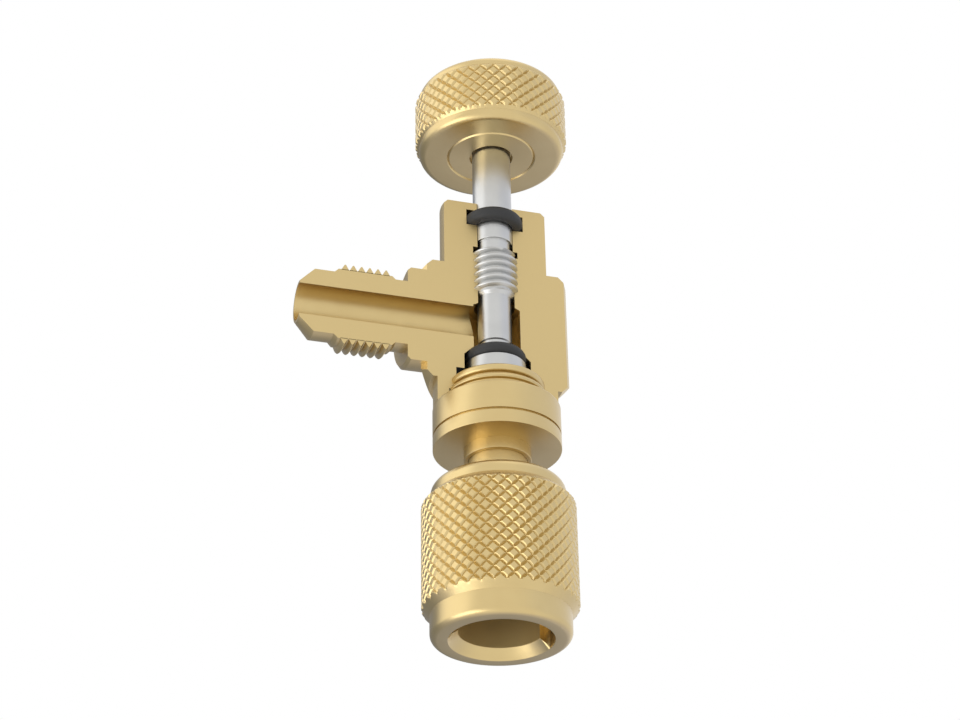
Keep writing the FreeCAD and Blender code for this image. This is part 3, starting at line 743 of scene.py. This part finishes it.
def turned_metal(name, tones, rough, lines=9, bump=0.25, cut_rough=None, bore=None):
    """A turned metal surface: its tone follows the patches, its roughness and bump the lines.
    With cut_rough, the face of the section is even and matt instead, as fine paper leaves it.
    With bore, all that lies within this radius of the axis is rougher, as a drill leaves it."""
    light, dark = tones
    material, tree, shader = new_material(name)
    place = tree.nodes.new("ShaderNodeTexCoord").outputs["Object"]
    marks = add_node(tree, "ShaderNodeGroup", node_tree=turning_marks)
    tree.links.new(place, marks.inputs["Vector"])
    marks.inputs["Lines per mm"].default_value = lines
    relief = marks.outputs["Lines"]
    tone = map_range(tree, marks.outputs["Patches"], *NOISE_SPAN, 0.0, 1.0)
    colour = mixed_colour(tree, tone, dark, light)
    roughness = map_range(tree, relief, *NOISE_SPAN, rough - LINE_ROUGH, rough + LINE_ROUGH)
    if cut_rough:
        depth = add_node(tree, "ShaderNodeSeparateXYZ", {0: place}).outputs["Y"]
        behind_cut = (SECTION_Y + 0.0005) * MM
        turned = math_node(tree, "GREATER_THAN", depth, behind_cut)
        colour = mixed_colour(tree, turned, light, colour)
        relief = math_node(tree, "MULTIPLY", relief, turned)
        roughness = map_range(tree, turned, 0.0, 1.0, cut_rough, roughness)
    if bore:
        flat = {0: place, 1: (1, 1, 0)}
        across = add_node(tree, "ShaderNodeVectorMath", flat, operation="MULTIPLY").outputs[0]
        away = add_node(tree, "ShaderNodeVectorMath", {0: across}, operation="LENGTH")
        drilled = math_node(tree, "LESS_THAN", away.outputs["Value"], bore * MM)
        roughness = map_range(tree, drilled, 0.0, 1.0, roughness, DRILLED_ROUGH)
    inputs = {"Height": relief, "Strength": bump, "Distance": RELIEF_HEIGHT}
    height = add_node(tree, "ShaderNodeBump", inputs)
    tree.links.new(colour, shader.inputs["Base Color"])
    tree.links.new(roughness, shader.inputs["Roughness"])
    tree.links.new(height.outputs[0], shader.inputs["Normal"])
    shader.inputs["Metallic"].default_value = 1.0
    return material


BRASS = linear(208, 185, 131), linear(204, 180, 126)  # the light and the dark tone
STEEL = linear(199, 199, 197), linear(190, 190, 188)

coupler_brass = turned_metal("coupler_brass", BRASS, rough=0.31, bore=BORE + 0.05)
knob_brass = turned_metal("knob_brass", BRASS, rough=0.31)
plug_brass = turned_metal("plug_brass", BRASS, rough=0.36)
tube_brass = turned_metal("tube_brass", BRASS, rough=0.38)
stem_steel = turned_metal("stem_steel", STEEL, rough=0.32, lines=11, bump=0.3)
pin_steel = turned_metal("pin_steel", STEEL, rough=0.34, lines=11, bump=0.3)
screw_steel = turned_metal("screw_steel", STEEL, rough=0.3, lines=7, bump=0.3)
body_brass = turned_metal("body_brass", BRASS, rough=0.37, bump=0.2, cut_rough=0.5)

# Brass is lacquered against tarnish, which makes it paler where it is seen at a slant.
lacquered = (coupler_brass, knob_brass, plug_brass, tube_brass, body_brass)
for brass in lacquered:
    surface = brass.node_tree.nodes["Principled BSDF"].inputs
    surface["Coat Weight"].default_value = COAT_WEIGHT
    surface["Coat Roughness"].default_value = COAT_ROUGH
print("lacquered:", ", ".join(brass.name for brass in lacquered))

# %% [markdown]
# ## Rubber
#
# The seals are matt and nearly black, with the fine grain of the mould. The two rubbers differ in
# tone and shine only, so the grain is a node group that both of them use.


# %% Rubber materials
def make_grain_group():
    """Fine cloudy noise, whose grains are 1 / scale of a metre across."""
    group = bpy.data.node_groups.new("moulded_grain", "ShaderNodeTree")
    group_socket(group, "Vector", "INPUT", "NodeSocketVector")
    group_socket(group, "Scale", "INPUT", value=6000.0)
    group_socket(group, "Grain", "OUTPUT")
    source = group.nodes.new("NodeGroupInput").outputs
    noise = {"Vector": source["Vector"], "Scale": source["Scale"], "Detail": 3.0}
    grain = add_node(group, "ShaderNodeTexNoise", noise).outputs[0]
    group.links.new(grain, group.nodes.new("NodeGroupOutput").inputs["Grain"])
    return group


moulded_grain = make_grain_group()
RUBBER_ROUGH, GRAIN_BUMP = 0.55, 0.2


def rubber(name, grey, shine):
    """Matt black rubber with a faint moulded grain and a share of a plain surface's shine."""
    material, tree, shader = new_material(name)
    place = tree.nodes.new("ShaderNodeTexCoord").outputs["Object"]
    mould = add_node(tree, "ShaderNodeGroup", node_tree=moulded_grain)
    tree.links.new(place, mould.inputs["Vector"])
    grain = mould.outputs["Grain"]
    inputs = {"Height": grain, "Strength": GRAIN_BUMP, "Distance": RELIEF_HEIGHT}
    height = add_node(tree, "ShaderNodeBump", inputs)
    tree.links.new(height.outputs[0], shader.inputs["Normal"])
    tone = mixed_colour(tree, grain, linear(grey - 6, grey - 6, grey - 5), linear(grey, grey, grey))
    tree.links.new(tone, shader.inputs["Base Color"])
    shader.inputs["Roughness"].default_value = RUBBER_ROUGH
    shader.inputs["Specular IOR Level"].default_value = 0.5 * shine
    return material


seal_rubber = rubber("seal_rubber", grey=54, shine=0.75)
gasket_rubber = rubber("gasket_rubber", grey=20, shine=0.1)
print("rubbers:", seal_rubber.name, gasket_rubber.name)

# %% [markdown]
# ## Who wears what
#
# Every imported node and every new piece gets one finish. The nodes that a new piece replaces get
# theirs too, so that they look right wherever they are shown.


# %% Put the finishes on the nodes and pieces
def finish_with(material, *objects):
    """One material on each of the objects, in place of what they had."""
    for item in objects:
        item.data.materials.clear()
        item.data.materials.append(material)
    print(material.name, "on", ", ".join(item.name for item in objects))


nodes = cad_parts
finish_with(body_brass, nodes["valve_body"], port_thread)
finish_with(plug_brass, plug, flange, nodes["end_plug"], nodes["tail_flange"])
finish_with(tube_brass, tube, nodes["tail_tube"])
finish_with(coupler_brass, coupler, nodes["coupler_nut"])
finish_with(knob_brass, knob, nodes["knob"])
finish_with(stem_steel, stem, stem_thread, nodes["stem"])
finish_with(pin_steel, nodes["depressor_pin"])
finish_with(screw_steel, nodes["knob_screw"])
round_seals = [nodes[key] for key in ("stem_o_ring", "plunger_o_ring", "flange_seal")]
finish_with(seal_rubber, stem_ring, *round_seals)
finish_with(gasket_rubber, nodes["body_gasket"], nodes["coupler_gasket"])

# %% [markdown]
# ## The floor
#
# The camera looks up at the valve from below, so the floor is made to show only from above: a
# pale matt surface and a clear one are mixed by the side that is seen and by how far away it is.
# It lies a hair under the coupler, so that the two don't fight for the same plane.


# %% Floor
FADE_START, FADE_END = 0.12, 0.9


def floor_material():
    """Pale where it is seen from above, fading out far away, and clear from below and for light."""
    material = bpy.data.materials.new("floor_pale")
    material.use_nodes = True
    tree = material.node_tree
    tree.nodes.clear()
    pale = add_node(tree, "ShaderNodeBsdfDiffuse", {"Color": linear(236, 236, 238)})
    clear = tree.nodes.new("ShaderNodeBsdfTransparent")
    path = tree.nodes.new("ShaderNodeLightPath")
    back = tree.nodes.new("ShaderNodeNewGeometry").outputs["Backfacing"]
    place = tree.nodes.new("ShaderNodeTexCoord").outputs["Object"]
    distance = add_node(tree, "ShaderNodeVectorMath", {0: place}, operation="LENGTH")
    near = map_range(tree, distance.outputs["Value"], FADE_START, FADE_END, 1.0, 0.0)
    front = math_node(tree, "SUBTRACT", 1.0, back)
    seen = math_node(tree, "MULTIPLY", path.outputs["Is Camera Ray"], front)
    factor = math_node(tree, "MULTIPLY", seen, near)
    shaders = {0: factor, 1: clear.outputs[0], 2: pale.outputs[0]}
    mix = add_node(tree, "ShaderNodeMixShader", shaders)
    output = tree.nodes.new("ShaderNodeOutputMaterial")
    tree.links.new(mix.outputs[0], output.inputs["Surface"])
    return material


floor_mesh = bpy.data.meshes.new("floor")
floor_mesh.from_pydata([(-1, -1, 0), (1, -1, 0), (1, 1, 0), (-1, 1, 0)], [], [(0, 1, 2, 3)])
floor = bpy.data.objects.new("floor", floor_mesh)
floor.location.z = -0.05 * MM
bpy.context.scene.collection.objects.link(floor)
finish_with(floor_material(), floor)

# %% [markdown]
# ## The studio
#
# Bright metal shows what stands round it. The studio is a pale dome that the camera sees as plain
# white, and only reflections find its parts: a grey flag behind the valve, which makes the dark
# bands at the turned sides, a cooler floor, a bright ceiling and a slightly grey right side.

# %% Studio
# Each part is its direction, the cosines to that direction at which it begins and is full, and its
# colour, where 1 is as bright as the white backdrop.
PALE, COOL_FLOOR = (1.08, 1.08, 1.08, 1), (0.69, 0.71, 0.88, 1)
FLAG = ((-0.27, 0.96, 0.0), 0.56, 0.88, (0.26, 0.28, 0.33, 1))
CEILING = ((0.25, -0.13, 0.95), 0.84, 0.98, (1.5, 1.5, 1.47, 1))
RIGHT_SIDE = ((0.95, -0.1, 0.3), 0.3, 0.9, (0.94, 0.96, 1.03, 1))
LOW, BEHIND = ((0, 0, -1), -0.05, 0.35), ((0.05, 0.99, 0), -0.2, 0.55)


def make_world():
    """White for the camera, the parts of the studio for gloss, and a soft grey for diffuse light.
    The cool floor is only seen low and behind: the product of two masks."""
    world = bpy.data.worlds.new("studio")
    bpy.context.scene.world = world
    world.use_nodes = True
    tree = world.node_tree
    tree.nodes.clear()
    way = tree.nodes.new("ShaderNodeTexCoord").outputs["Generated"]

    def part(direction, start, end):
        """1 round a direction and 0 away from it, with an S curve between the two cosines."""
        pair = {0: way, 1: tuple(Vector(direction).normalized())}
        dot = add_node(tree, "ShaderNodeVectorMath", pair, operation="DOT_PRODUCT")
        cosine = dot.outputs["Value"]
        return map_range(tree, cosine, start, end, 0.0, 1.0, interpolation_type="SMOOTHSTEP")

    under = math_node(tree, "MULTIPLY", part(*LOW), part(*BEHIND))
    shaded = mixed_colour(tree, under, PALE, COOL_FLOOR)
    for direction, start, end, colour in (FLAG, CEILING, RIGHT_SIDE):
        shaded = mixed_colour(tree, part(direction, start, end), shaded, colour)
    path = tree.nodes.new("ShaderNodeLightPath").outputs
    seen = math_node(tree, "MAXIMUM", path["Is Camera Ray"], path["Is Transmission Ray"])
    backdrop = mixed_colour(tree, seen, shaded, (1, 1, 1, 1))
    either = math_node(tree, "MAXIMUM", seen, path["Is Glossy Ray"])
    colour = mixed_colour(tree, either, (0.8, 0.8, 0.8, 1), backdrop)
    background = add_node(tree, "ShaderNodeBackground", {"Color": colour, "Strength": 1.0})
    output = tree.nodes.new("ShaderNodeOutputWorld")
    tree.links.new(background.outputs[0], output.inputs["Surface"])
    print("world:", len(tree.nodes), "nodes")


make_world()

# %% [markdown]
# ## Two soft lamps
#
# One large soft lamp stands on the left. A smaller and brighter one, low on the left, draws a
# bright line along the rounded edges.

# %% Lamps
MIDDLE = 38 * MM  # height of the valve's middle
LAMP_DISTANCE = 0.6  # in metres


def soft_lamp(name, direction, width, height, radiance):
    """A lamp in a direction from the valve's middle, turned to face it. Its power is what its area
    gives off at a radiance, where 1 is as bright as the white backdrop."""
    lamp = bpy.data.lights.new(name, "AREA")
    lamp.shape = "RECTANGLE"
    lamp.size, lamp.size_y = width, height
    lamp.energy = radiance * math.pi * width * height
    item = bpy.data.objects.new(name, lamp)
    bpy.context.scene.collection.objects.link(item)
    way = Vector(direction).normalized()
    item.location = Vector((0, 0, MIDDLE)) + way * LAMP_DISTANCE
    item.rotation_euler = way.to_track_quat("Z", "Y").to_euler()
    item.visible_camera = False
    print(name, "lamp", round(lamp.energy, 3), "W")


soft_lamp("key", (-0.98, 0.16, 0.36), width=0.72, height=0.8, radiance=0.5)
soft_lamp("rim", (-0.78, -0.14, -0.60), width=0.44, height=0.44, radiance=1.7)

# %% [markdown]
# ## The camera
#
# The camera was fitted to the outlines of the valve: it stands in front of it, to the left and
# below, and looks up along this direction, with a slight roll.

# %% Camera
CAMERA_PLACE = (-69.71, -224.15, -98.33)
LOOK = Vector((0.2511, 0.8304, 0.4974)).normalized()
ROLL = math.radians(-1.04)
right = LOOK.cross(Vector((0, 0, 1))).normalized()
up = right.cross(LOOK)
rolled_right = right * math.cos(ROLL) + up * math.sin(ROLL)
rolled_up = -right * math.sin(ROLL) + up * math.cos(ROLL)
camera_data = bpy.data.cameras.new("camera")
camera_data.sensor_width = 36
camera_data.lens = 84.6
camera_data.clip_start = 0.01
camera = bpy.data.objects.new("camera", camera_data)
bpy.context.scene.collection.objects.link(camera)
camera.matrix_world = Matrix.Translation(Vector(CAMERA_PLACE) * MM) @ Matrix(
    (
        (rolled_right.x, rolled_up.x, -LOOK.x),
        (rolled_right.y, rolled_up.y, -LOOK.y),
        (rolled_right.z, rolled_up.z, -LOOK.z),
    )
).to_4x4()
bpy.context.scene.camera = camera
bpy.context.scene.view_settings.view_transform = "Standard"
print("camera at", CAMERA_PLACE, "mm, lens", camera_data.lens)
